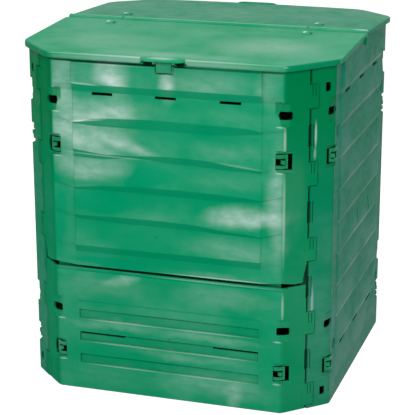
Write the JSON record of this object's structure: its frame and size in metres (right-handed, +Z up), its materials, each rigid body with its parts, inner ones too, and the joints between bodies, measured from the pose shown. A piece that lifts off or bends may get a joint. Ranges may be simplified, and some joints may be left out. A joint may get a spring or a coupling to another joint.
{
  "type": "compost bin with lid",
  "caption": "Square garden compost bin of hooked plastic wall panels with cut-off corners, a lift-off hatch low on the front and a lid of pitched flaps hinged on a ridge bar.",
  "frame": {"origin": "on the ground under the middle of the bin", "axes": "+Z up, -Y out of the front with the hatch, +X to the right as seen from the front; the ridge bar runs along X"},
  "size_m": [0.764, 0.7954, 0.842],
  "materials": {
    "panel_plastic": "satin",
    "side_plastic": "satin",
    "lid_plastic": "satin",
    "trim_plastic": "satin"
  },
  "bodies": {
    "bin": {"wall_front": "panel_plastic", "wall_right": "side_plastic", "wall_back": "panel_plastic", "wall_left": "side_plastic", "hinge_bar": "lid_plastic", "corner_clip_front_upper_a": "trim_plastic", "corner_clip_front_upper_b": "trim_plastic", "corner_clip_back_upper_a": "trim_plastic", "corner_clip_back_upper_b": "trim_plastic", "corner_clip_back_lower_a": "trim_plastic", "corner_clip_back_lower_b": "trim_plastic", "corner_clip_left_upper_a": "trim_plastic", "corner_clip_left_upper_b": "trim_plastic", "corner_clip_left_lower_a": "trim_plastic", "corner_clip_left_lower_b": "trim_plastic", "corner_clip_right_upper_a": "trim_plastic", "corner_clip_right_upper_b": "trim_plastic", "corner_clip_right_lower_a": "trim_plastic", "corner_clip_right_lower_b": "trim_plastic"},
    "hatch": {"front_hatch": "panel_plastic", "corner_clip_hatch_lower_a": "trim_plastic", "corner_clip_hatch_lower_b": "trim_plastic"},
    "front_flap": {"lid_front": "lid_plastic", "hinge_arm_front_a": "lid_plastic", "hinge_arm_front_b": "lid_plastic", "hinge_stud_front_a": "trim_plastic", "hinge_stud_front_b": "trim_plastic", "latch_pin_front": "trim_plastic"},
    "front_catch": {"lid_latch_front": "trim_plastic"},
    "rear_flap": {"lid_rear": "lid_plastic", "hinge_arm_rear_a": "lid_plastic", "hinge_arm_rear_b": "lid_plastic", "hinge_stud_rear_a": "trim_plastic", "hinge_stud_rear_b": "trim_plastic", "latch_pin_rear": "trim_plastic"},
    "rear_catch": {"lid_latch_rear": "trim_plastic"}
  },
  "joints": [
    {"name": "front_flap_hinge", "type": "hinge", "parent": "bin", "child": "front_flap", "pos_m": [0, 0, 0.835], "axis": [-1, 0, 0], "range_deg": [0, 82]},
    {"name": "rear_flap_hinge", "type": "hinge", "parent": "bin", "child": "rear_flap", "pos_m": [0, 0, 0.835], "axis": [1, 0, 0], "range_deg": [0, 82]},
    {"name": "front_catch_hinge", "type": "hinge", "parent": "front_flap", "child": "front_catch", "pos_m": [0, -0.37636, 0.81103], "axis": [-1, 0, 0], "range_deg": [0, 20], "stiffness_Nm_per_rad": 0.02},
    {"name": "rear_catch_hinge", "type": "hinge", "parent": "rear_flap", "child": "rear_catch", "pos_m": [0, 0.37636, 0.81103], "axis": [1, 0, 0], "range_deg": [0, 20], "stiffness_Nm_per_rad": 0.02},
    {"name": "hatch_pull", "type": "slide", "parent": "bin", "child": "hatch", "axis": [0, -1, 0], "range_m": [0, 0.15]}
  ]
}
